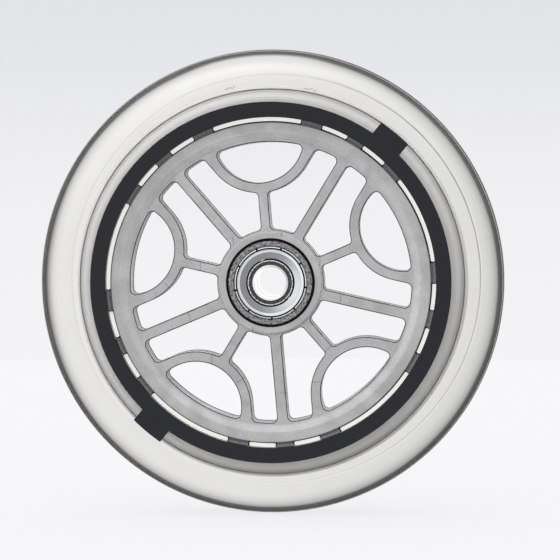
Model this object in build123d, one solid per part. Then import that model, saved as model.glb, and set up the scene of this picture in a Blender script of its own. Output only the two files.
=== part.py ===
from build123d import *
import os
from math import acos, cos, degrees, radians, sin, sqrt

# Clear-tyred 120 mm wheel on two shielded ball bearings.
#
# Frame: origin at the wheel's centre, axle along Y, +Z up, show face towards -Y.
# Everything is drawn with its axle along local Z and the show face towards local +Z,
# and stand_up() turns it into the frame above when it is written.
# Angles are clockwise from the top, seen from the show face. All sizes are millimetres.

# ---- driving dimensions -------------------------------------------------------------------

# tyre
tyre_radius = 60.0
half_width = 12.0
side_ellipse_centre = 45.5      # radius at which the front flank starts to curve
rear_flat_radius = 50.2         # the rear flank is skimmed flat out to this radius

# spoked core
pattern_angle = -5.0            # angle of the first forked spoke
pattern_count = 5
hub_face = 11.6
hub_radius = 13.2
hub_edge_round = 0.5
window_start = 13.65            # the windows lie between these two radii
window_end = 36.03
web_radius = 36.6               # the spokes' show face slopes down from the hub to here
web_inner_level = 11.0
web_outer_level = 9.8
web_rear_level = -0.4
spoke_edge_round = 0.3
ridge_radius = 38.4
ridge_level = 10.7
straight_spoke_half = 1.4
stem_half = 1.25
arch_centre = 37.3              # centre of the dome window, out along the forked spoke
dome_radius = 11.63
arch_radius = 14.24
dome_corner = 1.3
stem_corner = 1.15
rim_corner = 1.4

# rim of the core
ring_radius = 41.0              # outside of the spoked ring
slot_radius = 42.3              # inside of the rim
flange_radius = 46.2            # where the rim's flank meets the side faces
flank_radius = 48.7
flank_half = 1.8
groove_inner = 48.75            # a fine groove runs along each foot of the rib
groove_outer = 49.0
groove_half = 0.9
rib_shoulder_half = 1.55
rib_radius = 49.4
rib_half = 1.2
bar_level = 8.5                 # the bars between ring and rim stand within this level
slot_corner = 0.35
rear_ring_inner = 39.2
rear_ring_level = -11.2
long_slot_half_angle = 16.0
short_slot_half_angle = 5.05
short_slot_offset = 7.95        # from the straight spoke's angle
straight_spoke_angle = 36.0     # from the forked spoke

# tyre keys, which lock the cast tyre into the slots
key_front = 8.6                 # levels of a key's two ends
key_rear = -10.0
bridge_near = -3.0              # levels of the block that joins a key to the tyre
bridge_far = -8.0
bridge_outer = 48.8
bridge_margin = 1.0             # degrees narrower than the slot at each end
bridge_gap = 0.4                # from the spoked ring, so that the bridge stays off its wall
rear_arc_sample = -40.0         # any angle on the rear flank's arc, to draw it through

# black trim ring
trim_thickness = 0.6
tab_overlap = 0.5               # how far a tab's foot reaches into the ring
tab_radius = 49.7
tab_width = 8.8
tab_angle = 39.8
lug_level = 9.9
leg_radius = 43.2

# 608 bearing
bore_radius = 4.0
bearing_radius = 11.0
bearing_width = 7.0
ball_radius = 3.969 / 2
pitch_radius = 7.5
ball_count = 7
race_clearance = 0.045
outer_land = 9.0
inner_land = 6.0
inner_relief = 5.8
seat_depth = 0.8                # how far the shields' seats go in from the rings' faces
seat_radius = 9.42
seat_mouth = 9.6
seat_mouth_depth = 0.2
ring_chamfer = 0.25
lead_in_radial = 0.55           # the outward end of the bore widens in a long taper
lead_in_axial = 1.7
inner_ring_corner = 0.12
inner_ring_chamfer = 0.3
notch_count = 9
notch_angle = 17.5
notch_width = 0.32
notch_length = 0.7
notch_depth = 0.22
notch_radius = 9.2
cage_rivet_hole_length = 1.0

# pressed shield: radii, and depths below the ring's face
shield_thickness = 0.25
shield_inner = 6.18
band_inner_depth = 0.53
band_outer_depth = 0.45
band_outer = 7.75
bead_inner = 7.98
bead_outer = 8.45
bead_depth = 0.2
valley_inner = 8.72
valley_outer = 8.88
valley_depth = 0.65
crimp_inner = 8.98
crimp_outer = 9.28
crimp_depth = 0.35
crimp_edge_drop = 0.14
cage_inner = 6.75
cage_outer = 8.25
cage_thickness = 0.32
pocket_clearance = 0.08
rivet_radius = 0.35
rivet_head_radius = 0.55
rivet_head_top_radius = 0.385
rivet_head_height = 0.22

# hub bore and spacer
mouth_radius = 11.33            # the hub is relieved round the bearing at each end
mouth_depth = 2.0
hub_bore_radius = 9.5
spacer_radius = 5.4
spacer_chamfer = 0.25

# edges to be rounded are picked by where they lie, within these
level_tolerance = 0.01
radius_tolerance = 0.1

# ---- derived sizes ------------------------------------------------------------------------

flange_level = half_width - trim_thickness
bearing_centre = half_width - bearing_width / 2
spacer_half = half_width - bearing_width
ball_pitch = 360.0 / ball_count
pattern_pitch = 360.0 / pattern_count
shield_angles = [notch_angle + 360.0 / notch_count * k for k in range(notch_count)]


# ---- helpers ------------------------------------------------------------------------------

def polar(radius, angle):
    """A point at a radius and a clockwise angle from the top."""
    return (radius * sin(radians(angle)), radius * cos(radians(angle)))


def turned(shape, angle):
    """A shape turned clockwise about the axle."""
    return Rot(0, 0, -angle) * shape


def revolved(points):
    """A solid of revolution about the axle from (radius, level) points."""
    outline = make_face(Polyline(*points, close=True))
    return revolve(Plane.XZ * outline, Axis.Z)


def sector_face(inner, outer, start, end):
    """A flat piece of a ring between two radii and two clockwise angles."""
    middle = (start + end) / 2
    edges = [
        Line(polar(inner, start), polar(outer, start)),
        ThreePointArc(polar(outer, start), polar(outer, middle), polar(outer, end)),
        Line(polar(outer, end), polar(inner, end)),
        ThreePointArc(polar(inner, end), polar(inner, middle), polar(inner, start)),
    ]
    return make_face(edges)


def prism(face, low, high):
    """A flat face drawn at level 0, extruded from one level to another."""
    return Pos(0, 0, low) * extrude(face, high - low, dir=(0, 0, 1))


def stand_up(shape):
    """Turns local Z, the axle, to point along -Y."""
    return Rot(90, 0, 0) * shape


def rounded(face, radius, *points):
    """A flat face with the corners nearest to the given points rounded."""
    corners = []
    for point in points:
        corners.append(min(face.vertices(), key=lambda v: (Vector(v) - Vector(*point)).length))
    return face.face().fillet_2d(radius, corners)


# ---- windows between the spokes -----------------------------------------------------------

def dome_window():
    """The half-round window in the fork of a forked spoke, with the fork at the top."""
    corner_y = (window_end**2 + arch_centre**2 - dome_radius**2) / (2 * arch_centre)
    corner_x = sqrt(window_end**2 - corner_y**2)
    edges = [
        ThreePointArc((-corner_x, corner_y), (0, window_end), (corner_x, corner_y)),
        ThreePointArc((corner_x, corner_y), (0, arch_centre - dome_radius), (-corner_x, corner_y)),
    ]
    return rounded(make_face(edges), dome_corner, (corner_x, corner_y), (-corner_x, corner_y))


def teardrop_window():
    """The window between a forked spoke, at the top, and the straight spoke clockwise of it."""
    along = Vector(*polar(1.0, straight_spoke_angle))
    aside = Vector(*polar(1.0, straight_spoke_angle - 90.0))

    def beside_spoke(offset, radius):
        """The point at a radius on the line parallel to the straight spoke."""
        return along * sqrt(radius**2 - offset**2) + aside * offset

    leg_offset = arch_centre * sin(radians(straight_spoke_angle)) - arch_radius
    touch = along * (arch_centre * cos(radians(straight_spoke_angle))) + aside * leg_offset
    stem_foot = Vector(stem_half, sqrt(window_start**2 - stem_half**2))
    stem_top = Vector(stem_half, arch_centre - sqrt(arch_radius**2 - stem_half**2))
    spoke_foot = beside_spoke(straight_spoke_half, window_start)
    spoke_top = beside_spoke(straight_spoke_half, window_end)
    leg_top = beside_spoke(leg_offset, window_end)

    def on_circle(first, second, centre, radius):
        """The middle of the shorter arc between two points of a circle."""
        half_way = (first + second) * 0.5 - centre
        return centre + half_way.normalized() * radius

    centre = Vector(0, 0)
    arch = Vector(0, arch_centre)
    edges = [
        Line(stem_foot, stem_top),
        ThreePointArc(stem_top, on_circle(stem_top, touch, arch, arch_radius), touch),
        Line(touch, leg_top),
        ThreePointArc(leg_top, on_circle(leg_top, spoke_top, centre, window_end), spoke_top),
        Line(spoke_top, spoke_foot),
        ThreePointArc(spoke_foot, on_circle(spoke_foot, stem_foot, centre, window_start), stem_foot),
    ]
    face = make_face(edges)
    face = rounded(face, stem_corner, stem_foot, stem_top, spoke_foot)
    return rounded(face, rim_corner, spoke_top, leg_top)


def window_faces():
    """The three windows of one fifth of the core, with the forked spoke at the top."""
    teardrop = teardrop_window()
    return [dome_window(), teardrop, mirror(teardrop, about=Plane.YZ)]


# ---- slots around the spoked ring ---------------------------------------------------------

def slot_spans():
    """Start and end angles of the fifteen slots."""
    spans = []
    for k in range(pattern_count):
        fork = pattern_angle + pattern_pitch * k
        spoke = fork + straight_spoke_angle
        spans.append((fork - long_slot_half_angle, fork + long_slot_half_angle))
        for side in (-1, 1):
            middle = spoke + side * short_slot_offset
            spans.append((middle - short_slot_half_angle, middle + short_slot_half_angle))
    return sorted(spans)


def bar_spans():
    """Start and end angles of the fifteen bars between the slots."""
    spans = slot_spans()
    following = spans[1:] + [(spans[0][0] + 360.0, spans[0][1] + 360.0)]
    return [(first[1], second[0]) for first, second in zip(spans, following)]


def slot_face(span):
    """One slot, with its four corners rounded."""
    face = sector_face(ring_radius, slot_radius, *span).face()
    return face.fillet_2d(slot_corner, face.vertices())


def bridge(span):
    """The block of tyre that runs out from a slot, under the rim's rear flank."""
    start = span[0] + bridge_margin
    end = span[1] - bridge_margin
    face = sector_face(ring_radius + bridge_gap, bridge_outer, start, end)
    return prism(face, bridge_far, bridge_near)


def rim_outline():
    """The rim's outside, from the show side to the rear: flank, groove, rib, groove, flank."""
    foot = [
        (flank_radius, flank_half), (groove_inner, groove_half), (groove_outer, groove_half),
        (groove_outer, rib_shoulder_half), (rib_radius, rib_half),
    ]
    rear_foot = [(radius, -level) for radius, level in reversed(foot)]
    return [(flange_radius, flange_level), *foot, *rear_foot, (flange_radius, -half_width)]


# ---- wheel --------------------------------------------------------------------------------

def web_level(radius):
    """Level of the spokes' show face at a radius."""
    share = (radius - hub_radius) / (web_radius - hub_radius)
    return web_inner_level + (web_outer_level - web_inner_level) * share


def window_edges(body):
    """The edges around the windows, on the show face and the rear face of the spokes."""
    edges = []
    for edge in body.edges():
        middle = edge.position_at(0.5)
        radius = sqrt(middle.X**2 + middle.Y**2)
        off_face = min(abs(middle.Z - web_level(radius)), abs(middle.Z - web_rear_level))
        at_window = window_start - radius_tolerance < radius < window_end + radius_tolerance
        if at_window and off_face < level_tolerance:
            edges.append(edge)
    return edges


def hub_edges(body):
    """The outer edges of the hub's two end faces."""
    edges = []
    for edge in body.edges().filter_by(GeomType.CIRCLE):
        at_rim = abs(edge.radius - hub_radius) < radius_tolerance
        if at_rim and abs(edge.position_at(0).Z) > hub_face - level_tolerance:
            edges.append(edge)
    return edges


def hub_core():
    """The moulded core: hub, spokes, spoked ring, bars and rim, in one piece."""
    mouth_floor = hub_face - mouth_depth
    body = revolved([
        (hub_bore_radius, -spacer_half), (hub_bore_radius, spacer_half),
        (bearing_radius, spacer_half), (bearing_radius, mouth_floor),
        (mouth_radius, mouth_floor), (mouth_radius, hub_face),
        (hub_radius, hub_face), (hub_radius, web_inner_level),
        (web_radius, web_outer_level), (ridge_radius, ridge_level), (ring_radius, ridge_level),
        (ring_radius, bar_level), (slot_radius, bar_level), (slot_radius, flange_level),
        *rim_outline(),
        (slot_radius, -half_width), (slot_radius, -bar_level), (ring_radius, -bar_level),
        (ring_radius, rear_ring_level), (rear_ring_inner, rear_ring_level),
        (web_radius, web_rear_level), (hub_radius, web_rear_level),
        (hub_radius, -hub_face), (mouth_radius, -hub_face),
        (mouth_radius, -mouth_floor), (bearing_radius, -mouth_floor),
        (bearing_radius, -spacer_half),
    ])
    windows = []
    for k in range(pattern_count):
        for face in window_faces():
            windows.append(prism(turned(face, pattern_angle + pattern_pitch * k), -half_width, half_width))
    body = body - windows
    body = fillet(window_edges(body), spoke_edge_round)
    body = fillet(hub_edges(body), hub_edge_round)
    cuts = trim_legs()
    for span in slot_spans():
        cuts.append(prism(slot_face(span), -half_width, half_width))
        cuts.append(bridge(span))
    return body - cuts


def tyre():
    """The cast tyre, with the keys that fill the core's slots."""
    flank_depth = tyre_radius - side_ellipse_centre
    flank_turn = degrees(acos((flange_radius - side_ellipse_centre) / flank_depth))
    flank = EllipticalCenterArc((side_ellipse_centre, 0), flank_depth, half_width, arc_size=flank_turn)
    tread_rise = tyre_radius - rear_flat_radius
    rear_arc_radius = (half_width**2 + tread_rise**2) / (2 * tread_rise)
    rear_arc_centre = tyre_radius - rear_arc_radius
    middle = radians(rear_arc_sample)
    rear_middle = (rear_arc_centre + rear_arc_radius * cos(middle), rear_arc_radius * sin(middle))
    edges = [
        flank,
        Line(flank @ 1, (flange_radius, flange_level)),
        Polyline(*rim_outline(), (rear_flat_radius, -half_width)),
        ThreePointArc((rear_flat_radius, -half_width), rear_middle, (tyre_radius, 0)),
    ]
    body = revolve(Plane.XZ * make_face(edges), Axis.Z)
    keys = []
    for span in slot_spans():
        keys.append(prism(slot_face(span), key_rear, key_front))
        keys.append(bridge(span))
    return body + keys - trim_tabs()


def trim_tabs():
    """The two opposite tabs of the trim ring."""
    foot_radius = flange_radius - tab_overlap
    reach = Circle(tab_radius) - Circle(foot_radius)
    strip = reach & Pos(0, tab_radius) * Rectangle(tab_width, 2 * (tab_radius - foot_radius) + tab_overlap)
    tab = prism(strip.face(), flange_level, half_width)
    return [turned(tab, tab_angle), turned(tab, tab_angle + 180.0)]


def trim_legs():
    """The trim ring's legs, which stand in the core's rim beside each bar."""
    legs = []
    for span in bar_spans():
        face = sector_face(slot_radius, leg_radius, *span)
        legs.append(prism(face, bar_level, flange_level))
    return legs


def trim_ring():
    """The black ring on the show face, with its tabs, legs and the lugs over the bars."""
    plate = prism((Circle(flange_radius) - Circle(slot_radius)).face(), flange_level, half_width)
    lugs = []
    for span in bar_spans():
        face = sector_face(ring_radius, leg_radius, *span)
        lugs.append(prism(face, bar_level, lug_level))
    return plate + trim_tabs() + trim_legs() + lugs


# ---- bearing, drawn in its place in the front of the hub -------------------------------------

def raceway():
    """The ring-shaped space that the balls run in."""
    section = Pos(pitch_radius, bearing_centre) * Circle(ball_radius + race_clearance)
    return revolve(Plane.XZ * section, Axis.Z)


def bearing_outer_ring():
    front = half_width
    rear = spacer_half
    blank = revolved([
        (outer_land, rear + seat_depth), (outer_land, front - seat_depth),
        (seat_radius, front - seat_depth), (seat_radius, front - seat_mouth_depth),
        (seat_mouth, front),
        (bearing_radius - ring_chamfer, front), (bearing_radius, front - ring_chamfer),
        (bearing_radius, rear + ring_chamfer), (bearing_radius - ring_chamfer, rear),
        (seat_mouth, rear), (seat_radius, rear + seat_mouth_depth),
        (seat_radius, rear + seat_depth),
    ])
    return blank - raceway()


def bearing_inner_ring():
    front = half_width
    rear = spacer_half
    corner = inner_ring_corner
    chamfer = inner_ring_chamfer
    blank = revolved([
        (bore_radius, rear + chamfer), (bore_radius, front - lead_in_axial),
        (bore_radius + lead_in_radial, front), (inner_relief - corner, front),
        (inner_relief, front - corner), (inner_relief, front - seat_depth),
        (inner_land, front - seat_depth), (inner_land, rear + seat_depth),
        (inner_relief, rear + seat_depth), (inner_relief, rear + corner),
        (inner_relief - corner, rear), (bore_radius + chamfer, rear),
    ])
    return blank - raceway()


def bearing_shield():
    """The outward shield: a stepped sheet with a crimped bead, notched nine times."""
    band_start = half_width - band_inner_depth
    band_end = half_width - band_outer_depth
    bead = half_width - bead_depth
    valley = half_width - valley_depth
    crimp = half_width - crimp_depth
    floor = half_width - seat_depth
    sheet = shield_thickness
    wall = sheet / 3            # how far the sheet's bends shift from one face to the other
    blank = revolved([
        (shield_inner, band_start - sheet), (shield_inner, band_start), (band_outer, band_end),
        (bead_inner, bead), (bead_outer, bead), (valley_inner, valley), (valley_outer, valley),
        (crimp_inner, crimp), (crimp_outer, crimp), (seat_radius, crimp - crimp_edge_drop),
        (seat_radius, floor), (valley_inner - wall, floor), (bead_outer - wall, bead - sheet),
        (bead_inner + wall, bead - sheet), (band_outer + wall, band_end - sheet),
    ])
    notch = Pos(0, notch_radius, crimp) * Box(notch_width, notch_length, 2 * notch_depth)
    return blank - [turned(notch, angle) for angle in shield_angles]


def other_way_round(shape):
    """A bearing part turned to face the other side of the same bearing."""
    return mirror(shape, about=Plane.XY.offset(bearing_centre))


def ball_angle(number):
    return ball_pitch * (number - 1)


def ball(number):
    x, y = polar(pitch_radius, ball_angle(number))
    return Pos(x, y, bearing_centre) * Sphere(ball_radius)


def cage_half():
    """The half of the pressed ribbon cage on the show side of the balls."""
    pocket = ball_radius + pocket_clearance
    annulus = (Circle(cage_outer) - Circle(cage_inner)).face()
    flat = prism(annulus, bearing_centre, bearing_centre + cage_thickness)
    room = prism(annulus, bearing_centre, half_width)
    cups = []
    hollows = []
    holes = []
    for number in range(1, ball_count + 1):
        x, y = polar(pitch_radius, ball_angle(number))
        cups.append(room & Pos(x, y, bearing_centre) * Sphere(pocket + cage_thickness))
        hollows.append(Pos(x, y, bearing_centre) * Sphere(pocket))
        hole_x, hole_y = polar(pitch_radius, ball_angle(number) + ball_pitch / 2)
        hole = Cylinder(rivet_radius, cage_rivet_hole_length)
        holes.append(Pos(hole_x, hole_y, bearing_centre) * hole)
    return flat + cups - hollows - holes


def cage_rivets():
    """The seven rivets that hold the two halves of a cage together."""
    half_grip = cage_thickness
    rivet = Cylinder(rivet_radius, 2 * half_grip)
    for side in (-1, 1):
        head = Cone(rivet_head_radius, rivet_head_top_radius, rivet_head_height)
        if side < 0:
            head = Rot(180, 0, 0) * head
        rivet += Pos(0, 0, side * (half_grip + rivet_head_height / 2)) * head
    rivets = []
    for number in range(1, ball_count + 1):
        x, y = polar(pitch_radius, ball_angle(number) + ball_pitch / 2)
        rivets.append(Pos(x, y, bearing_centre) * rivet)
    return Compound(rivets)


def bearing_spacer():
    """The sleeve that keeps the two inner rings apart."""
    edge = spacer_chamfer
    return revolved([
        (bore_radius, -spacer_half), (spacer_radius - edge, -spacer_half),
        (spacer_radius, -spacer_half + edge), (spacer_radius, spacer_half - edge),
        (spacer_radius - edge, spacer_half), (bore_radius, spacer_half),
    ])


# ---- all nodes ----------------------------------------------------------------------------

def bearing_nodes():
    """The pieces of the front bearing, by name."""
    shield = bearing_shield()
    half = cage_half()
    pieces = {
        "outer_ring": bearing_outer_ring(),
        "inner_ring": bearing_inner_ring(),
        "outward_shield": shield,
        "inward_shield": other_way_round(shield),
        "outward_cage_half": half,
        "inward_cage_half": other_way_round(half),
        "cage_rivets": cage_rivets(),
    }
    for number in range(1, ball_count + 1):
        pieces[f"ball_{number}"] = ball(number)
    return pieces


def all_nodes():
    nodes = {
        "hub_core": hub_core(),
        "tyre": tyre(),
        "trim_ring": trim_ring(),
        "bearing_spacer": bearing_spacer(),
    }
    for name, piece in bearing_nodes().items():
        nodes[f"front_{name}"] = piece
        nodes[f"rear_{name}"] = mirror(piece, about=Plane.XY)
    return nodes


os.makedirs("parts", exist_ok=True)
for node, shape in all_nodes().items():
    export_step(stand_up(shape), os.path.join("parts", node + ".step"))
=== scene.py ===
from math import acos, asin, cos, degrees, hypot, radians, sin

import bmesh
import bpy
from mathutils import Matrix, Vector


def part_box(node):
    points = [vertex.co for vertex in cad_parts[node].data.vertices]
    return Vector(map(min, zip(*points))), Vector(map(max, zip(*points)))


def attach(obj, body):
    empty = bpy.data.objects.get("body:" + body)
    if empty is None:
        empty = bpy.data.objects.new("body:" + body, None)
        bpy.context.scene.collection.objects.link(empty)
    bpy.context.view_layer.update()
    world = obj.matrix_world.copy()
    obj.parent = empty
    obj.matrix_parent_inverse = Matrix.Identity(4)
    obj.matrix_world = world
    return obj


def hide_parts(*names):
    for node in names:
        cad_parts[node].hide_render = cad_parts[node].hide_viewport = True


# Clear-tyred wheel on two ball bearings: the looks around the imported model.
# The axle lies along Y and the show face looks towards -Y. Sizes are in millimetres up to the
# place where a mesh is written, and "level" is the distance from the middle plane towards the
# show face. Angles are in degrees, clockwise from the top, seen from the show face.

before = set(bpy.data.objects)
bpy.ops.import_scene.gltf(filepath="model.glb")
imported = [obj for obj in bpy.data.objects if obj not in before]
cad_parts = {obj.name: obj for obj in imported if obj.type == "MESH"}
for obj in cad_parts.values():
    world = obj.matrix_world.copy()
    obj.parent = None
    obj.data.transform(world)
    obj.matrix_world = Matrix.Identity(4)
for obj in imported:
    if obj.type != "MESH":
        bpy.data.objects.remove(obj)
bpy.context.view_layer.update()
scene = bpy.context.scene

MM = 0.001

# ---- tyre sizes ---------------------------------------------------------------------------

box_margin = 0.005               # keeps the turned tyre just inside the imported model's box
tyre_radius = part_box("tyre")[1].x / MM - box_margin
half_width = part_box("tyre")[1].y / MM
flange_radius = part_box("trim_ring")[1].x / MM    # where the tyre meets the black ring
flange_level = 11.4              # level of the black ring's rear face
side_ellipse_centre = 45.5       # radius at which the show flank starts to curve
rear_flat_radius = 50.2          # the rear flank is flat out to this radius
crease_width = 0.3               # the fine groove where the rear flank meets the tread
crease_depth = 0.09
flank_half = 1.8                 # the inner wall slopes from the side faces to this level
wall_radius = 48.6               # the tyre's inner wall lies a little inside the core's rim
rib_wall_radius = 49.3
rib_wall_half = 0.8
embed = 0.1                      # how far the inner wall's ends reach into the core
rear_edge_depth = 0.5            # at the rear the inner wall sinks in over this depth
show_edge_gap = 0.03             # and it ends this far short of the show face

around = 360                     # steps round the tyre
flank_steps = 44                 # steps across each flank
tyre_sharp_angle = 7.0           # edges that turn further than this stay crisp

# the keys fill the core's slots, and their front ends have shrunk away from the slots' walls
pattern_angle = -5.0             # angle of the first forked spoke
pattern_count = 5
straight_spoke_angle = 36.0      # from the forked spoke
long_slot_half_angle = 16.0
short_slot_half_angle = 5.05
short_slot_offset = 7.95         # from the straight spoke's angle
ring_radius = 41.0               # the slots lie between these two radii
slot_radius = 42.3
key_front = 8.6                  # levels of a key's two ends
key_rear = -10.0
bridge_near = -3.0               # levels of the block that joins a key to the tyre
bridge_far = -8.0
bridge_outer = 48.8
key_embed = 0.03
key_foot_gap = 0.05              # degrees, at the ends of the whole of a key
key_gap = 0.33                   # from the slot's inner wall to a front end
key_end_gap = 0.4                # degrees, from the slot's ends to a front end
key_corner = 0.35                # radius of the front ends' corners
corner_steps = 4
key_step_angle = 1.0
gap_floor = 7.0                  # level of the step round a front end
front_overlap = 1.0              # how far a front end reaches down into the rest of its key
face_margin = 0.1                # for telling the keys' faces apart
flat_face = 0.9                  # how far a flat face's normal lies along the axle, at the least

# the clear, frosted and painted-shade materials' places on the tyre
clear_place = 0
frosted_place = 1
painted_shade_place = 2
# strength of the glow painted on the keys' frosted ends, standing in for light carried through the
# clear tyre
key_painted_glow = 0.6

tab_radius = 49.7
tab_width = 8.8
tab_angle = 39.8
tab_embed = 0.04
tab_foot = 2.0                   # how far a tab's cut reaches in past the tyre's inner edge
tab_rise = 1.0                   # and out past the show face
tab_steps = 12

# air bubbles under the tyre's show face, in two clusters: (radius, angle, length, height)
bubbles = [
    (50.5, -12.9, 0.9, 0.3), (50.7, -12.0, 1.2, 0.45), (50.4, -11.2, 0.8, 0.25),
    (50.8, -10.6, 0.7, 0.35), (50.2, 10.5, 1.8, 0.3), (50.4, 12.0, 0.8, 0.55),
    (50.1, 12.8, 0.6, 0.5), (50.4, 13.4, 0.6, 0.45),
]
bubble_level = 10.4
bubble_thickness = 0.3
bubble_around = 16               # steps round a bubble
bubble_rings = 10                # and from end to end

# ---- bearing sizes ------------------------------------------------------------------------

# outward shield: (radius, depth below the bearing's face) along its outside, then its back
shield_curve = [
    (6.18, 0.64), (6.21, 0.585), (6.28, 0.57), (6.6, 0.54), (7.1, 0.495), (7.55, 0.455),
    (7.74, 0.44), (7.83, 0.42), (8.0, 0.34), (8.3, 0.2), (8.45, 0.155), (8.54, 0.17),
    (8.6, 0.3), (8.66, 0.58), (8.74, 0.66), (8.81, 0.6), (8.85, 0.42), (8.9, 0.28),
    (9.0, 0.31), (9.13, 0.37), (9.27, 0.435), (9.37, 0.485), (9.41, 0.56),
]
shield_back = [(9.41, 0.79), (8.72, 0.79), (8.42, 0.5), (8.0, 0.46), (7.78, 0.65), (6.18, 0.8)]
curve_steps = 4
shield_around = 720
shield_sharp_angle = 40.0
notch_count = 9
notch_angle = 17.5
notch_half_angle = 1.3
notch_inner = 8.8
notch_depth = 0.35
notch_skin = 0.02                # what is left of the shield under a notch, at the least
notch_blur = 0.06                # how softly a notch's painted shade starts along the radius
notch_spread = 1.25              # how wide that painted shade is at its foot, as a share of the notch

bore_edge = (4.5, 4.6)           # radii over which the bright bore gives way to the ring's face
# strength of the glow painted on the bore, standing in for its bright reflection
bore_painted_glow = 0.4

# painted light and shade on the metal, from its low to its high radius: (radius, share of plain tone)
ring_low = 4.0
ring_high = 11.0
# on the rings: a darker inner ring, a painted highlight on its edge, and painted shade in the gaps
# beside the shield and at the outer ring's rim
ring_painted_light_and_shade = [
    (4.55, 0.20), (5.48, 0.23), (5.56, 2.2), (5.74, 2.2), (5.8, 0.04), (6.3, 0.04),
    (9.38, 0.1), (9.5, 0.8), (10.55, 0.8), (10.72, 0.06), (11.0, 0.03),
]
shield_low = 6.0
shield_high = 9.5
# on the shield: painted shade in its creases and at its edges
shield_painted_shade = [
    (6.15, 0.1), (6.24, 1.0), (7.76, 1.0), (7.8, 0.4), (7.86, 1.0), (8.58, 1.0),
    (8.66, 0.05), (8.86, 0.05), (8.92, 1.0), (9.38, 1.0), (9.42, 0.1),
]

# ---- core sizes ---------------------------------------------------------------------------

hub_radius = 13.2
hub_face = 11.6
web_radius = 36.6                # the spokes' show face slopes down from the hub to here
web_inner_level = 11.0
web_outer_level = 9.8

# weld lines on the core's show face: (radius, angle) of the two ends of each
weld_lines = [
    ((18.8, -73.3), (18.3, -80.1)), ((15.1, -39.3), (13.6, -44.6)),
    ((27.1, -90.3), (25.9, -93.6)), ((13.0, 12.5), (11.9, 13.4)),
    ((14.4, 61.2), (13.4, 70.8)), ((22.6, -110.5), (22.7, -116.7)),
    ((23.9, -140.9), (25.7, -144.1)), ((27.1, -161.3), (25.2, -164.8)),
    ((12.3, -158.2), (13.1, -159.6)), ((18.1, 98.8), (18.6, 105.7)),
    ((22.5, 142.0), (22.5, 135.2)), ((27.6, 157.2), (28.7, 152.5)),
    ((28.4, 175.2), (28.6, 171.7)),
]
weld_half_width = 0.09
weld_height = 0.02
weld_root = 0.1                  # how far a line's foot reaches into the core
weld_top_share = 0.5             # width of a line's top, as a share of its foot

# soft edges of the zones in which the painted light and shade on the core and its black ring change,
# each a pair of values from 0 to 1
spokes_start = (13.3, 13.6)      # radii at the spokes' two ends
spokes_end = (37.6, 37.4)
shade_start = (-2.6, -1.2)       # Y at the two ends of the window walls' rear, where shade is painted
shade_end = (0.3, 0.1)
slope_start = (36.5, 36.56)      # radius and Y at which the ridge's inner slope starts
slope_rise = (-9.6, -9.7)
ridge_side = (-2.0, -4.0)        # Y at which the painted light and shade on the ridge set in
relief_edge = (11.34, 11.44)     # radius of the relief round the bearing, where shade is painted
rim_start = (46.1, 46.25)        # radius at which the tyre starts to cover the core
show_side = (2.8, 1.8)           # Y at which the covered rim's show side starts
lug_middle = (41.5, 41.9)        # radius past which a highlight is painted on the black ring's lugs
lug_end = (42.2, 42.3)           # and at which they end

# painted light and shade on the core under the tyre's show side, from low to high: (radius, tone)
rim_low = 46.0
rim_high = 49.5
rim_painted_tone = [
    (46.0, 0.4), (46.28, 0.70), (47.575, 0.81), (47.995, 0.72), (48.24, 0.61), (48.45, 0.5),
    (48.73, 0.58), (49.15, 0.76), (49.5, 0.80),
]
rear_painted_shade = 0.48                # painted shade: share of the plain tone under the tyre's rear side

# painted light and shade on the ridge round the spokes, from low to high: (radius, share of plain
# tone)
ridge_low = 36.0
ridge_high = 42.0
ridge_painted_light_and_shade = [
    (36.6, 1.0), (37.2, 1.14), (38.16, 1.12), (39.0, 1.0), (40.8, 1.0), (40.878, 0.35),
    (41.118, 0.35), (41.202, 1.0),
]

# ---- studio sizes -------------------------------------------------------------------------

softbox_direction = (-0.94, 0.0, 0.34)
dome_direction = (-0.36, 0.0, 0.88)

floor_radius = 700.0
floor_corners = 96
floor_glow = 0.95
floor_matt = 0.1                 # share of matt paint, which takes the contact shade

camera_azimuth = 2.6
camera_elevation = 1.8
camera_distance = 800.0
camera_aside = 1.93              # the camera's line of sight passes the origin by this much
camera_above = 0.33
camera_lens = 198.4
camera_sensor = 36.0


# ---- mesh helpers -------------------------------------------------------------------------

def place(radius, angle, level):
    """A point in the frame, in metres."""
    turn = radians(angle)
    return Vector((radius * sin(turn), -level, radius * cos(turn))) * MM


def mesh_object(name, points, faces):
    """A new mesh object from points in metres and faces of point numbers."""
    mesh = bpy.data.meshes.new(name)
    mesh.from_pydata(points, [], faces)
    form = bmesh.new()
    form.from_mesh(mesh)
    bmesh.ops.recalc_face_normals(form, faces=form.faces)
    form.to_mesh(mesh)
    form.free()
    piece = bpy.data.objects.new(name, mesh)
    scene.collection.objects.link(piece)
    return piece


def lathe(name, profile, steps):
    """A closed ring turned about the axle from (radius, level) points."""
    count = len(profile)
    points = []
    faces = []
    for step in range(steps):
        angle = 360.0 * step / steps
        points += [place(radius, angle, level) for radius, level in profile]
        here = step * count
        there = (step + 1) % steps * count
        for k in range(count):
            following = (k + 1) % count
            faces.append((here + k, here + following, there + following, there + k))
    return mesh_object(name, points, faces)


def swept(name, profile, spans, step_angle):
    """Closed blocks swept about the axle from (radius, level) points, one for each span."""
    count = len(profile)
    points = []
    faces = []
    for start, end in spans:
        steps = max(2, round((end - start) / step_angle))
        first = len(points)
        for step in range(steps + 1):
            angle = start + (end - start) * step / steps
            points += [place(radius, angle, level) for radius, level in profile]
        for step in range(steps):
            here = first + step * count
            there = here + count
            for k in range(count):
                following = (k + 1) % count
                faces.append((here + k, here + following, there + following, there + k))
        faces.append(tuple(range(first, first + count)))
        last = first + steps * count
        faces.append(tuple(reversed(range(last, last + count))))
    return mesh_object(name, points, faces)


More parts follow.
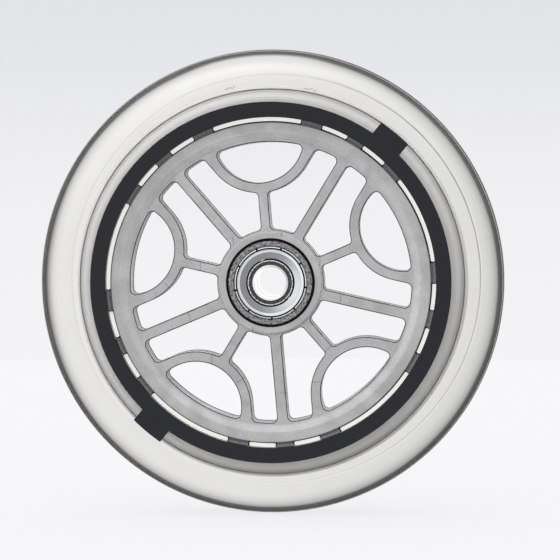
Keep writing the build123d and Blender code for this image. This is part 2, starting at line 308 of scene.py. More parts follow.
def blocks(name, outlines, low, high):
    """Closed flat blocks between two levels, one for each outline of (radius, angle) points."""
    points = []
    faces = []
    for outline in outlines:
        count = len(outline)
        bottom = len(points)
        top = bottom + count
        for level in (low, high):
            points += [place(radius, angle, level) for radius, angle in outline]
        for k in range(count):
            following = (k + 1) % count
            faces.append((bottom + k, bottom + following, top + following, top + k))
        faces.append(tuple(range(bottom, top)))
        faces.append(tuple(reversed(range(top, top + count))))
    return mesh_object(name, points, faces)


def combine(piece, other, operation):
    """Joins another closed mesh to a piece, or cuts it away, and removes the other."""
    change = piece.modifiers.new("combine", "BOOLEAN")
    change.operation = operation
    change.solver = "EXACT"
    change.object = other
    bpy.context.view_layer.update()
    result = piece.evaluated_get(bpy.context.evaluated_depsgraph_get())
    mesh = bpy.data.meshes.new_from_object(result)
    piece.modifiers.clear()
    piece.data = mesh
    bpy.data.objects.remove(other)


def smooth_curve(points, steps):
    """More points on a smooth curve through the given ones."""
    result = []
    for k in range(len(points) - 1):
        before = Vector(points[max(k - 1, 0)])
        start = Vector(points[k])
        end = Vector(points[k + 1])
        after = Vector(points[min(k + 2, len(points) - 1)])
        for step in range(steps):
            t = step / steps
            point = start * 2 + (end - before) * t
            point += (before * 2 - start * 5 + end * 4 - after) * t**2
            point += (start * 3 - before - end * 3 + after) * t**3
            result.append(tuple(point / 2))
    return result + [points[-1]]


# ---- tyre ---------------------------------------------------------------------------------

def slot_spans():
    """Start and end angles of the fifteen slots in the core."""
    spans = []
    for k in range(pattern_count):
        fork = pattern_angle + 360.0 / pattern_count * k
        spans.append((fork - long_slot_half_angle, fork + long_slot_half_angle))
        for side in (-1, 1):
            middle = fork + straight_spoke_angle + side * short_slot_offset
            spans.append((middle - short_slot_half_angle, middle + short_slot_half_angle))
    return sorted(spans)


def flank_profile():
    """The tyre's outside, from the show side's inner edge over the tread to the rear crease."""
    depth = tyre_radius - side_ellipse_centre
    turn = acos((flange_radius - side_ellipse_centre) / depth)
    points = []
    for k in range(flank_steps, 0, -1):
        angle = turn * k / flank_steps
        points.append((side_ellipse_centre + depth * cos(angle), half_width * sin(angle)))
    rise = tyre_radius - rear_flat_radius
    arc_radius = (half_width**2 + rise**2) / (2 * rise)
    arc_turn = asin(half_width / arc_radius)
    for k in range(flank_steps + 1):
        angle = arc_turn * k / flank_steps
        points.append((tyre_radius - arc_radius * (1 - cos(angle)), -arc_radius * sin(angle)))
    points.append((rear_flat_radius - crease_width / 2, crease_depth - half_width))
    points.append((rear_flat_radius - crease_width, -half_width))
    return points


def inner_profile():
    """The tyre's inner wall, a little inside the core that it is cast round."""
    slope = (wall_radius - flange_radius) / (half_width - flank_half)
    rear_edge_radius = flange_radius + slope * rear_edge_depth
    return [
        (flange_radius, -half_width), (rear_edge_radius - embed, rear_edge_depth - half_width),
        (wall_radius, -flank_half), (wall_radius, -rib_wall_half),
        (rib_wall_radius, -rib_wall_half), (rib_wall_radius, rib_wall_half),
        (wall_radius, rib_wall_half), (wall_radius, flank_half),
        (flange_radius - embed, flange_level), (flange_radius - embed, half_width - show_edge_gap),
    ]


def tab_outline(middle):
    """A little smaller than one of the black ring's two tabs, which lie in the tyre."""
    half = tab_width / 2 - tab_embed
    reach = tab_radius - tab_embed
    foot = flange_radius - tab_foot
    spread = degrees(asin(half / reach))
    foot_spread = degrees(asin(half / foot))
    outline = [(reach, middle + spread * (2 * k / tab_steps - 1)) for k in range(tab_steps + 1)]
    return outline + [(foot, middle + foot_spread), (foot, middle - foot_spread)]


def key_outline(start, end):
    """A key's front end: a ring's sector with rounded corners, from the inner start corner."""
    inner = ring_radius + key_gap
    outer = slot_radius + key_embed
    turn = degrees(key_corner / slot_radius)
    steps = max(2, round(end - start))
    along = [start + turn + (end - start - 2 * turn) * k / steps for k in range(1, steps)]
    centres = [
        (inner + key_corner, start + turn), (outer - key_corner, start + turn),
        (outer - key_corner, end - turn), (inner + key_corner, end - turn),
    ]
    outline = []
    for corner, (radius, angle) in enumerate(centres):
        for step in range(corner_steps + 1):
            bearing = radians(180.0 + 90.0 * (corner + step / corner_steps))
            outline.append((radius + key_corner * cos(bearing), angle + turn * sin(bearing)))
        if corner == 1:
            outline += [(outer, side_angle) for side_angle in along]
        if corner == 3:
            outline += [(inner, side_angle) for side_angle in reversed(along)]
    return outline


def mark_key_faces(piece):
    """Gives each face of the tyre its material: frosted key ends, gaps with painted shade, the rest
    clear.
    """
    for face in piece.data.polygons:
        centre = face.center / MM
        in_slot = ring_radius < hypot(centre.x, centre.z) < slot_radius + face_margin
        in_gap = gap_floor - face_margin < -centre.y < key_front - face_margin
        if in_slot and in_gap:
            # the gaps get the dark material that paints their shade
            face.material_index = painted_shade_place
        elif in_slot and abs(face.normal.y) > flat_face:
            face.material_index = frosted_place
        else:
            face.material_index = clear_place


def cast_tyre():
    """The clear tyre: a turned ring, with the keys that fill the core's slots."""
    piece = lathe("cast_tyre", flank_profile() + inner_profile(), around)
    inner = ring_radius + key_embed
    outer = slot_radius + key_embed
    key_profile = [
        (inner, key_rear), (inner, gap_floor), (outer, gap_floor), (outer, bridge_near),
        (bridge_outer, bridge_near), (bridge_outer, bridge_far), (outer, bridge_far),
        (outer, key_rear),
    ]
    key_spans = [(start + key_foot_gap, end - key_foot_gap) for start, end in slot_spans()]
    front_outlines = [
        key_outline(start + key_end_gap, end - key_end_gap) for start, end in slot_spans()]
    tab_outlines = [tab_outline(tab_angle), tab_outline(tab_angle + 180.0)]
    keys = swept("keys", key_profile, key_spans, key_step_angle)
    key_fronts = blocks("key_fronts", front_outlines, gap_floor - front_overlap, key_front)
    tabs = blocks("tabs", tab_outlines, flange_level + tab_embed, half_width + tab_rise)
    combine(piece, keys, "UNION")
    combine(piece, key_fronts, "UNION")
    combine(piece, tabs, "DIFFERENCE")
    piece.data.shade_smooth()
    piece.data.set_sharp_from_angle(angle=radians(tyre_sharp_angle))
    mark_key_faces(piece)
    return piece


def cast_bubbles():
    """The small flat bubbles, each an ellipsoid along the tyre."""
    points = []
    faces = []
    for radius, angle, length, height in bubbles:
        middle = place(radius, angle, bubble_level)
        along = place(length / 2, angle + 90.0, 0.0)
        across = place(0.0, 0.0, bubble_thickness / 2)
        outward = place(height / 2, angle, 0.0)
        inner_end = len(points)
        points.append(middle - outward)
        for ring in range(1, bubble_rings):
            rise = radians(180.0 * ring / bubble_rings)
            for step in range(bubble_around):
                turn = radians(360.0 * step / bubble_around)
                spoke = along * cos(turn) + across * sin(turn)
                points.append(middle + spoke * sin(rise) - outward * cos(rise))
        outer_end = len(points)
        points.append(middle + outward)
        first_ring = inner_end + 1
        last_ring = outer_end - bubble_around
        for step in range(bubble_around):
            following = (step + 1) % bubble_around
            faces.append((inner_end, first_ring + following, first_ring + step))
            for here in range(first_ring, last_ring, bubble_around):
                there = here + bubble_around
                faces.append((here + step, here + following, there + following, there + step))
            faces.append((last_ring + step, last_ring + following, outer_end))
    piece = mesh_object("cast_bubbles", points, faces)
    piece.data.shade_smooth()
    return piece


# ---- bearing shields ----------------------------------------------------------------------

def pressed_shield(name, side):
    """A bearing's outward shield, with a bead and a notched crimp; side is 1 for the front."""
    profile = smooth_curve(shield_curve, curve_steps) + shield_back
    piece = lathe(name, [(radius, half_width - depth) for radius, depth in profile], shield_around)
    pitch = 360.0 / notch_count
    back_depth = shield_back[0][1]
    count = len(profile)
    for number, vertex in enumerate(piece.data.vertices):
        radius, depth = profile[number % count]
        angle = 360.0 * (number // count) / shield_around
        off_notch = abs((angle - notch_angle + pitch / 2) % pitch - pitch / 2)
        if radius > notch_inner and off_notch < notch_half_angle:
            depth = max(depth, min(depth + notch_depth, back_depth - notch_skin))
        vertex.co.y = -(half_width - depth) * side * MM
    if side < 0:
        piece.data.flip_normals()
    piece.data.shade_smooth()
    piece.data.set_sharp_from_angle(angle=radians(shield_sharp_angle))
    return piece


# ---- weld lines ---------------------------------------------------------------------------

def core_level(radius):
    """Level of the core's show face at a radius."""
    if radius < hub_radius:
        return hub_face
    share = (radius - hub_radius) / (web_radius - hub_radius)
    return web_inner_level + (web_outer_level - web_inner_level) * share


def raised_lines():
    """The weld lines: low narrow strips where streams of plastic met in the mould."""
    points = []
    faces = []
    raised = Vector((0, -weld_height * MM, 0))
    sunk = Vector((0, weld_root * MM, 0))
    for (start_radius, start_angle), (end_radius, end_angle) in weld_lines:
        start = place(start_radius, start_angle, core_level(start_radius))
        end = place(end_radius, end_angle, core_level(end_radius))
        along = (end - start).normalized()
        aside = along.cross(Vector((0, -1, 0))) * weld_half_width * MM
        top_aside = aside * weld_top_share
        near = len(points)
        far = near + 4
        for tip in (start, end):
            points += [tip - aside + sunk, tip - top_aside + raised]
            points += [tip + top_aside + raised, tip + aside + sunk]
        for k in range(4):
            following = (k + 1) % 4
            faces.append((near + k, near + following, far + following, far + k))
        faces.append(tuple(range(near, far)))
        faces.append(tuple(reversed(range(far, far + 4))))
    return mesh_object("weld_lines", points, faces)


# ---- node helpers -------------------------------------------------------------------------

def grey(level):
    """A grey colour."""
    return (level, level, level, 1.0)


def fill(tree, socket, value):
    """Links a socket from another, or sets its number or colour."""
    if isinstance(value, bpy.types.NodeSocket):
        tree.links.new(value, socket)
    else:
        socket.default_value = value


def add(tree, kind, settings=None, **inputs):
    """Adds a shader node. An input's name is written with _ for a space."""
    node = tree.nodes.new("ShaderNode" + kind)
    for name, value in (settings or {}).items():
        setattr(node, name, value)
    for name, value in inputs.items():
        fill(tree, node.inputs[name.replace("_", " ")], value)
    return node


def calc(tree, operation, *values):
    """Adds a Math node and returns its result."""
    node = tree.nodes.new("ShaderNodeMath")
    node.operation = operation
    for socket, value in zip(node.inputs, values):
        fill(tree, socket, value)
    return node.outputs[0]


def opposite(tree, value):
    """1 less a value."""
    return calc(tree, "SUBTRACT", 1.0, value)


def even_step(tree, value, low, high):
    """0 below low, 1 above high, and even between."""
    return add(tree, "MapRange", Value=value, From_Min=low, From_Max=high).outputs[0]


def smooth_step(tree, value, low, high):
    """0 below low, 1 above high, and smooth between; low may be the higher."""
    settings = {"interpolation_type": "SMOOTHSTEP"}
    return add(tree, "MapRange", settings, Value=value, From_Min=low, From_Max=high).outputs[0]


def between(tree, value, rise, fall):
    """1 between two soft edges and 0 outside; each edge is a pair of values, from 0 to 1."""
    return calc(tree, "MULTIPLY", smooth_step(tree, value, *rise), smooth_step(tree, value, *fall))


def ramp(tree, factor, stops):
    """Adds a colour ramp through (position, grey level or colour) stops."""
    node = tree.nodes.new("ShaderNodeValToRGB")
    fill(tree, node.inputs[0], factor)
    elements = node.color_ramp.elements
    while len(elements) < len(stops):
        elements.new(1.0)
    for element, (position, value) in zip(elements, stops):
        element.position = position
        element.color = grey(value) if isinstance(value, float) else (*value, 1.0)
    return node.outputs[0]


def by_radius(tree, radius, low, high, stops):
    """A tone that changes with the radius, through (radius, level) stops from low to high."""
    places = [((at - low) / (high - low), level) for at, level in stops]
    return ramp(tree, even_step(tree, radius, low, high), places)


def blend_colours(tree, factor, first, second, kind="MIX"):
    """Mixes two colours by a factor, or multiplies them with kind MULTIPLY."""
    node = tree.nodes.new("ShaderNodeMix")
    node.data_type = "RGBA"
    node.blend_type = kind
    sockets = [socket for socket in node.inputs if socket.type == "RGBA"]
    fill(tree, node.inputs["Factor"], factor)
    fill(tree, sockets[0], first)
    fill(tree, sockets[1], second)
    return [socket for socket in node.outputs if socket.type == "RGBA"][0]


def tint(tree, colour, by):
    """A colour multiplied by another."""
    return blend_colours(tree, 1.0, colour, by, "MULTIPLY")


def dot(tree, vector, direction):
    """How far a vector points along a direction."""
    node = add(tree, "VectorMath", {"operation": "DOT_PRODUCT"})
    fill(tree, node.inputs[0], vector)
    fill(tree, node.inputs[1], direction)
    return node.outputs["Value"]


def object_place(tree):
    """Object coordinates in millimetres."""
    node = add(tree, "VectorMath", {"operation": "SCALE"}, Scale=1.0 / MM)
    fill(tree, node.inputs[0], add(tree, "TexCoord").outputs["Object"])
    return node.outputs[0]


def axes_of(tree, vector):
    """A vector's X, Y and Z. Object coordinates have Y along the axle, away from the show face."""
    return add(tree, "SeparateXYZ", Vector=vector).outputs


def axle_radius(tree, axes):
    """Distance from the axle."""
    squares = [calc(tree, "POWER", axes[name], 2.0) for name in "XZ"]
    return calc(tree, "SQRT", calc(tree, "ADD", *squares))


def axle_angle(tree, axes):
    """Angle about the axle, in radians from the top."""
    return calc(tree, "ARCTAN2", axes["X"], axes["Z"])


def noise(tree, vector, scale, detail, distortion=0.0):
    """Cloudy noise from 0 to 1."""
    return add(
        tree, "TexNoise", Vector=vector, Scale=scale, Detail=detail, Distortion=distortion).outputs[0]


def turned_grain(tree, radius, angle, period, stretch):
    """Noise in fine rings, as a lathe or a grinding wheel leaves."""
    across = calc(tree, "DIVIDE", radius, period)
    along = calc(tree, "MULTIPLY", angle, stretch)
    vector = add(tree, "CombineXYZ", X=across, Y=along).outputs[0]
    return noise(tree, vector, 1.0, 3.0)


def emboss(tree, shader, height, strength, distance):
    """Bump on a shader, with its distance in millimetres."""
    bump = add(tree, "Bump", Strength=strength, Distance=distance * MM, Height=height)
    fill(tree, shader.inputs["Normal"], bump.outputs["Normal"])


# ---- materials ----------------------------------------------------------------------------

def new_material(name, **inputs):
    """A material with its Principled shader set; returns it, its tree and the shader."""
    material = bpy.data.materials.new(name)
    material.use_nodes = True
    tree = material.node_tree
    shader = tree.nodes["Principled BSDF"]
    for key, value in inputs.items():
        shader.inputs[key.replace("_", " ")].default_value = value
    return material, tree, shader


def clear_polyurethane():
    """The tyre: clear, slightly cream, with a soft haze and a gently wavy surface."""
    material, tree, shader = new_material(
        "clear_polyurethane", Base_Color=(0.975, 0.97, 0.95, 1.0), IOR=1.49, Transmission_Weight=1.0)
    vector = object_place(tree)
    cloud = noise(tree, vector, 0.12, 3.0)
    fill(tree, shader.inputs["Roughness"], ramp(tree, cloud, [(0.35, 0.015), (0.7, 0.06)]))
    emboss(tree, shader, noise(tree, vector, 0.09, 1.0), 0.25, 0.2)
    return material


def frosted_polyurethane():
    """The keys' frosted end faces, with a painted glow standing in for the light that comes to them
    through the clear tyre.
    """
    material, tree, shader = new_material(
        "frosted_polyurethane", Roughness=0.6, Emission_Color=(1.0, 0.99, 0.955, 1.0),
        Emission_Strength=key_painted_glow)
    cloud = noise(tree, object_place(tree), 1.2, 4.0)
    tone = ramp(tree, cloud, [(0.3, (0.60, 0.60, 0.565)), (0.7, (0.72, 0.72, 0.69))])
    fill(tree, shader.inputs["Base Color"], tone)
    emboss(tree, shader, cloud, 0.3, 0.1)
    return material


def bubble_air():
    """Air inside polyurethane, so its index of refraction is below 1."""
    material, tree, shader = new_material(
        "bubble_air", Base_Color=grey(0.96), IOR=0.67, Transmission_Weight=1.0)
    cloud = noise(tree, object_place(tree), 2.0, 3.0)
    fill(tree, shader.inputs["Roughness"], ramp(tree, cloud, [(0.35, 0.02), (0.7, 0.12)]))
    return material


def gap_painted_shade():
    """Painted shade for the narrow gaps round the keys' front ends: a dark colour where they lie in
    shade.
    """
    material, tree, shader = new_material("gap_painted_shade", Roughness=0.7, Specular_IOR_Level=0.2)
    cloud = noise(tree, object_place(tree), 1.2, 4.0)
    fill(tree, shader.inputs["Base Color"], ramp(tree, cloud, [(0.3, 0.02), (0.7, 0.05)]))
    return material


def spoke_painted_light_and_shade(tree, tone, axes, radius):
    """Painted light and shade on the spokes: the window walls are painted pale, and their rounded
    edges and rear painted dark as shade.
    """
    facing = axes_of(tree, add(tree, "TexCoord").outputs["Normal"])["Y"]
    # painted light on the window walls, painted shade on their rounded edges
    edges = ramp(tree, calc(tree, "ABSOLUTE", facing), [
        (0.0, 1.7), (0.06, 1.6), (0.14, 0.1), (0.93, 0.1), (0.98, 1.0)])
    # painted shade on the walls towards the spokes' rear
    deep = between(tree, axes["Y"], shade_start, shade_end)
    edges = blend_colours(tree, deep, edges, grey(0.12))
    # the ridge's inner slope keeps the plain tone
    on_slope = calc(
        tree, "MULTIPLY", smooth_step(tree, axes["Y"], *slope_rise),
        smooth_step(tree, radius, *slope_start))
    on_spokes = between(tree, radius, spokes_start, spokes_end)
    on_spokes = calc(tree, "MULTIPLY", on_spokes, opposite(tree, on_slope))
    return blend_colours(tree, on_spokes, tone, tint(tree, tone, edges))


def rim_painted_light_and_shade(tree, tone, axes, radius):
    """Painted light and shade on the core under the tyre: pale and dark rings painted on the show
    side, and painted shade at the rear.
    """
    pale = by_radius(tree, radius, rim_low, rim_high, rim_painted_tone)
    on_front = smooth_step(tree, axes["Y"], *show_side)
    past_ring = smooth_step(tree, radius, *rim_start)
    painted_show_faces = calc(tree, "MULTIPLY", on_front, past_ring)
    painted_shade_faces = calc(tree, "MULTIPLY", opposite(tree, on_front), past_ring)
    # light and shade painted in rings on the show side, and shade painted at the rear
    tone = blend_colours(tree, painted_show_faces, tone, pale)
    return blend_colours(tree, painted_shade_faces, tone, tint(tree, tone, grey(rear_painted_shade)))


def silver_plastic():
    """Silver-grey moulding: fine flake, faint flow marks, and painted light and shade."""
    material, tree, shader = new_material("silver_plastic", Specular_IOR_Level=0.45)
    vector = object_place(tree)
    axes = axes_of(tree, vector)
    radius = axle_radius(tree, axes)
    flake = noise(tree, vector, 2.6, 2.0)
    tone = ramp(tree, flake, [(0.3, (0.345, 0.345, 0.35)), (0.7, (0.415, 0.415, 0.42))])
    flow = noise(tree, vector, 0.11, 3.0, 1.2)
    tone = tint(tree, tone, ramp(tree, flow, [(0.3, 0.88), (0.7, 1.13)]))
    tone = spoke_painted_light_and_shade(tree, tone, axes, radius)
    tone = rim_painted_light_and_shade(tree, tone, axes, radius)
    # painted shade on the ridge's outer edge and in the relief round the bearing, painted light on
    # the ridge's inner slope
    shade = by_radius(tree, radius, ridge_low, ridge_high, ridge_painted_light_and_shade)
    on_ridge_side = smooth_step(tree, axes["Y"], *ridge_side)
    tone = blend_colours(tree, on_ridge_side, tone, tint(tree, tone, shade))
    relief_painted_shade = opposite(tree, smooth_step(tree, radius, *relief_edge))
    tone = blend_colours(tree, relief_painted_shade, tone, grey(0.01))
    fill(tree, shader.inputs["Base Color"], tone)
    fill(tree, shader.inputs["Roughness"], ramp(tree, flow, [(0.3, 0.38), (0.7, 0.5)]))
    emboss(tree, shader, flake, 0.25, 0.05)
    return material


def weld_plastic():
    """The weld lines: the core's plastic, darker where its streams met."""
    material, tree, shader = new_material("weld_plastic", Roughness=0.5)
    flake = noise(tree, object_place(tree), 2.6, 2.0)
    fill(tree, shader.inputs["Base Color"], ramp(tree, flake, [(0.3, 0.07), (0.7, 0.13)]))
    return material


def black_plastic():
    """Black ring with a fine grain; its lugs, deep between ring and rim, are painted paler, with a
    painted highlight on their outer half.
    """
    material, tree, shader = new_material("black_plastic", Roughness=0.5, Specular_IOR_Level=0.25)
    vector = object_place(tree)
    radius = axle_radius(tree, axes_of(tree, vector))
    grain = noise(tree, vector, 3.0, 2.0)
    tone = ramp(tree, grain, [(0.3, (0.009, 0.0095, 0.012)), (0.7, (0.019, 0.020, 0.025))])
    # the lugs painted paler than the ring as light, with a highlight painted on their outer half
    lug = ramp(tree, grain, [(0.3, (0.13, 0.132, 0.134)), (0.7, (0.22, 0.222, 0.224))])
    lug_highlight_half = smooth_step(tree, radius, *lug_middle)
    lug = blend_colours(tree, lug_highlight_half, lug, tint(tree, lug, grey(1.5)))
    on_lug = opposite(tree, smooth_step(tree, radius, *lug_end))
    fill(tree, shader.inputs["Base Color"], blend_colours(tree, on_lug, tone, lug))
    emboss(tree, shader, grain, 0.2, 0.05)
    return material


def ring_steel():
    """Ground bearing rings: grey faces with fine circular grain, painted light and shade at their
    edges, and a bright polished bore with a painted glow.
    """
    material, tree, shader = new_material("ring_steel", Metallic=1.0, Emission_Strength=bore_painted_glow)
    axes = axes_of(tree, object_place(tree))
    radius = axle_radius(tree, axes)
    grain = turned_grain(tree, radius, axle_angle(tree, axes), 0.24, 11.0)
    tone = ramp(tree, grain, [(0.36, (0.09, 0.09, 0.092)), (0.64, (0.76, 0.76, 0.77))])
    tone = tint(tree, tone, by_radius(tree, radius, ring_low, ring_high, ring_painted_light_and_shade))
    in_bore = opposite(tree, smooth_step(tree, radius, *bore_edge))
    tone = blend_colours(tree, in_bore, tone, grey(0.95))
    # the glow painted on the bore
    glow = blend_colours(tree, in_bore, grey(0.0), grey(1.0))
    fill(tree, shader.inputs["Base Color"], tone)
    fill(tree, shader.inputs["Emission Color"], glow)
    fill(tree, shader.inputs["Roughness"], calc(tree, "MULTIPLY_ADD", in_bore, -0.3, 0.4))
    emboss(tree, shader, grain, 0.3, 0.03)
    return material


def notch_painted_shade(tree, radius, angle):
    """1 in the notches of the shield's crimp, where shade is painted, with narrow soft edges."""
    notches_per_degree = notch_count / 360.0
    turns = calc(
        tree, "MULTIPLY_ADD", angle, notch_count / radians(360.0),
        0.5 - notch_angle * notches_per_degree)
    within = calc(tree, "FLOORED_MODULO", turns, 1.0)
    off_notch = calc(tree, "ABSOLUTE", calc(tree, "SUBTRACT", within, 0.5))
    half = notch_half_angle * notches_per_degree
    return calc(
        tree, "MULTIPLY", smooth_step(tree, off_notch, half * notch_spread, half),
        smooth_step(tree, radius, notch_inner - notch_blur, notch_inner))


def bright_steel(name, low, high, roughness, period, anisotropy=0.0, on_shield=False):
    """Pressed, turned or polished metal with fine rings about the axle; shields have painted shade in
    their creases and notches.
    """
    material, tree, shader = new_material(name, Metallic=1.0, Anisotropic=anisotropy)
    axes = axes_of(tree, object_place(tree))
    radius = axle_radius(tree, axes)
    angle = axle_angle(tree, axes)
    grain = turned_grain(tree, radius, angle, period, 3.0)
    tone = ramp(tree, grain, [(0.3, low), (0.7, high)])
    if on_shield:
        # painted shade in the shield's creases and in its notches
        tone = tint(tree, tone, by_radius(tree, radius, shield_low, shield_high, shield_painted_shade))
        tone = blend_colours(tree, notch_painted_shade(tree, radius, angle), tone, grey(0.01))
    fill(tree, shader.inputs["Base Color"], tone)
    roughness_range = [(0.3, roughness), (0.7, roughness * 1.3)]
    fill(tree, shader.inputs["Roughness"], ramp(tree, grain, roughness_range))
    if anisotropy:
        tangent = add(tree, "Tangent", {"direction_type": "RADIAL", "axis": "Y"})
        fill(tree, shader.inputs["Tangent"], tangent.outputs[0])
    return material


def dress(node, material):
    """Gives a CAD node its material."""
    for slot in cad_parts[node].material_slots:
        slot.material = material


# ---- studio -------------------------------------------------------------------------------

def zones(tree, from_front, levels):
    """Brightness by the angle from the backdrop's middle, as (degrees, level) pairs."""
    stops = [((cos(radians(angle)) + 1) / 2, level) for angle, level in levels]
    return ramp(tree, from_front, sorted(stops))


def through_light(tree, axes, from_front):
    """What shows through the clear tyre: pale paper, with dark cards all round beside it."""
    through = zones(tree, from_front, [
        (0.0, 0.82), (10.0, 0.82), (16.0, 0.84), (26.0, 0.85), (36.0, 0.74), (43.0, 0.61),
        (48.0, 0.47), (52.0, 0.17), (56.0, 0.13), (74.0, 0.09), (84.0, 0.5), (98.0, 0.8),
        (180.0, 0.85)])
    by_side = ramp(tree, calc(tree, "MULTIPLY_ADD", axes["X"], 0.5, 0.5), [
        (0.3, 0.86), (0.5, 1.0), (0.78, 1.0), (0.86, 0.72)])
    by_height = ramp(tree, calc(tree, "ADD", axes["Z"], 0.5), [
        (0.0, 1.25), (0.11, 1.12), (0.4, 1.0), (0.9, 0.97)])
    through = tint(tree, tint(tree, through, by_side), by_height)
    # the tyre's top bends rays down to this pale patch
    low_patch = between(tree, axes["Z"], (-0.48, -0.66), (-0.87, -0.70))
    near_middle = smooth_step(tree, calc(tree, "ABSOLUTE", axes["X"]), 0.28, 0.08)
    low_patch = calc(tree, "MULTIPLY", low_patch, near_middle)
    return blend_colours(tree, low_patch, through, grey(0.9))


def mirrored_light(tree, direction, axes, from_front):
    """What glossy surfaces mirror: dark behind the camera, with a big softbox at its left."""
    mirrored = zones(tree, from_front, [
        (0.0, 0.95), (9.0, 0.9), (16.0, 0.3), (30.0, 0.16), (50.0, 0.12), (80.0, 0.2),
        (95.0, 0.6), (108.0, 0.95), (145.0, 0.95), (158.0, 0.36), (180.0, 0.32)])
    behind_camera = smooth_step(tree, axes["Y"], -0.2, -0.5)
    aside = dot(tree, direction, softbox_direction)
    softbox = calc(tree, "MULTIPLY", behind_camera, smooth_step(tree, aside, 0.06, 0.22))
    return blend_colours(tree, softbox, mirrored, grey(1.15))


def dome_light(tree, direction, axes):
    """What lights matt surfaces: a dome, stronger from the left, from above and from the sides."""
    sides = calc(tree, "MULTIPLY_ADD", calc(tree, "POWER", axes["Y"], 2.0), -0.25, 1.25)
    return calc(tree, "ADD", dot(tree, direction, dome_direction), sides)


def backdrop_paper(tree, axes):
    """The paper that the camera sees: pale below the horizon and a little bluer above."""
    return ramp(tree, even_step(tree, axes["Z"], -0.09, 0.06), [
        (0.0, (0.911, 0.911, 0.928)), (0.25, (0.902, 0.902, 0.919)), (0.5, (0.882, 0.882, 0.899)),
        (0.65, (0.855, 0.855, 0.875)), (0.85, (0.790, 0.796, 0.826)), (1.0, (0.758, 0.766, 0.797))])


def studio_world():
    """A pale backdrop for the camera, and soft cards and a dome of light round the wheel."""
    world = bpy.data.worlds.new("studio")
    scene.world = world
    world.cycles.sampling_method = "NONE"
    world.use_nodes = True
    tree = world.node_tree
    tree.nodes.clear()
    direction = add(tree, "TexCoord").outputs["Generated"]
    axes = axes_of(tree, direction)
    from_front = calc(tree, "MULTIPLY_ADD", axes["Y"], 0.5, 0.5)
    through = through_light(tree, axes, from_front)
    mirrored = mirrored_light(tree, direction, axes, from_front)
    dome = dome_light(tree, direction, axes)
    paper = backdrop_paper(tree, axes)
    path = add(tree, "LightPath").outputs
    lighting = calc(tree, "GREATER_THAN", path["Diffuse Depth"], 0.5)
    colour = blend_colours(tree, path["Is Transmission Ray"], mirrored, through)
    colour = blend_colours(tree, lighting, colour, dome)
    colour = blend_colours(tree, path["Is Camera Ray"], colour, paper)
    background = add(tree, "Background", Color=colour, Strength=1.0)
    out = add(tree, "OutputWorld")
    tree.links.new(background.outputs[0], out.inputs["Surface"])


def floor_paint():
    """The floor's material: a glow as bright as the paper behind it, with some matt paint."""
    material = bpy.data.materials.new("floor")
    material.use_nodes = True
    tree = material.node_tree
    tree.nodes.clear()
    glow = add(tree, "Emission", Color=(0.913, 0.913, 0.93, 1.0), Strength=floor_glow)
    matt = add(tree, "BsdfDiffuse", Color=(0.85, 0.85, 0.87, 1.0))
    mix = add(tree, "MixShader")
    fill(tree, mix.inputs[0], floor_matt)
    fill(tree, mix.inputs[1], glow.outputs[0])
    fill(tree, mix.inputs[2], matt.outputs[0])
    out = add(tree, "OutputMaterial")
    fill(tree, out.inputs["Surface"], mix.outputs[0])
    return material


def pale_floor():
    """A plain pale floor, with a faint contact shade."""
    points = [Vector((0.0, 0.0, -tyre_radius)) * MM]
    for k in range(floor_corners):
        turn = radians(360 * k / floor_corners)
        corner = Vector((floor_radius * cos(turn), floor_radius * sin(turn), -tyre_radius))
        points.append(corner * MM)
    faces = [(0, 1 + k, 1 + (k + 1) % floor_corners) for k in range(floor_corners)]
    piece = mesh_object("floor", points, faces)
    piece.data.materials.append(floor_paint())
    piece.visible_diffuse = False
    piece.visible_glossy = False
    piece.visible_transmission = False


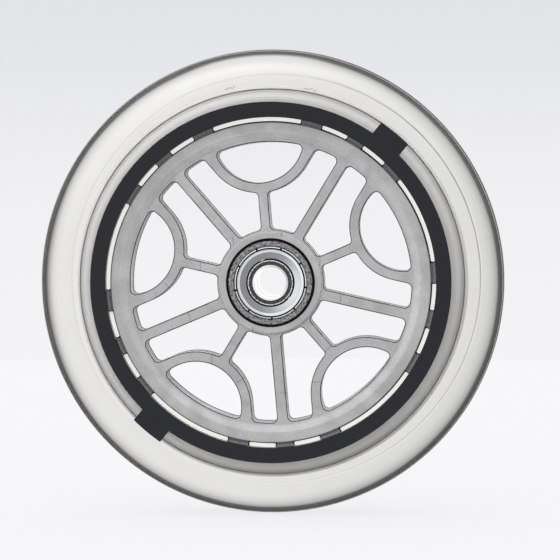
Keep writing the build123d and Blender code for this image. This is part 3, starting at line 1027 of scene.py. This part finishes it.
def photo_camera():
    """The camera, at the picture's viewing angle."""
    azimuth = radians(camera_azimuth)
    elevation = radians(camera_elevation)
    back = Vector((
        sin(azimuth) * cos(elevation), -cos(azimuth) * cos(elevation), sin(elevation)))
    right = Vector((cos(azimuth), sin(azimuth), 0.0))
    up = right.cross(-back)
    data = bpy.data.cameras.new("camera")
    data.lens = camera_lens
    data.sensor_width = camera_sensor
    camera = bpy.data.objects.new("camera", data)
    aim = right * camera_aside * MM
    lift = up * camera_above * MM
    camera.location = back * (camera_distance * MM) + aim + lift
    camera.rotation_euler = (-back).to_track_quat("-Z", "Y").to_euler()
    scene.collection.objects.link(camera)
    scene.camera = camera


# ---- the scene ----------------------------------------------------------------------------

photo_camera()
studio_world()
pale_floor()
scene.view_settings.view_transform = "Standard"

tyre = cast_tyre()
tyre.data.materials.append(clear_polyurethane())
tyre.data.materials.append(frosted_polyurethane())
tyre.data.materials.append(gap_painted_shade())
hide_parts("tyre")
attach(tyre, "wheel")

air = cast_bubbles()
air.data.materials.append(bubble_air())
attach(air, "wheel")

welds = raised_lines()
welds.data.materials.append(weld_plastic())
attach(welds, "wheel")

shield_steel = bright_steel(
    "shield_steel", low=(0.655, 0.68, 0.715), high=(0.775, 0.795, 0.82), roughness=0.14,
    period=0.1, anisotropy=0.4, on_shield=True)
for end, side in (("front", 1), ("rear", -1)):
    shield = pressed_shield(f"{end}_pressed_shield", side)
    shield.data.materials.append(shield_steel)
    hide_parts(f"{end}_outward_shield")
    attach(shield, "wheel")

dress("hub_core", silver_plastic())
dress("trim_ring", black_plastic())
dress("bearing_spacer", bright_steel(
    "spacer_metal", low=(0.80, 0.80, 0.80), high=(0.88, 0.88, 0.88), roughness=0.1, period=0.3))
rings = ring_steel()
cage_steel = bright_steel(
    "cage_steel", low=(0.5, 0.5, 0.5), high=(0.62, 0.62, 0.62), roughness=0.3, period=0.3)
ball_steel = bright_steel(
    "ball_steel", low=(0.78, 0.78, 0.79), high=(0.84, 0.84, 0.85), roughness=0.05, period=0.5)
for end in ("front", "rear"):
    for node in ("outer_ring", "inner_ring"):
        dress(f"{end}_{node}", rings)
    dress(f"{end}_inward_shield", shield_steel)
    for node in ("outward_cage_half", "inward_cage_half", "cage_rivets"):
        dress(f"{end}_{node}", cage_steel)
    for number in range(1, 8):
        dress(f"{end}_ball_{number}", ball_steel)
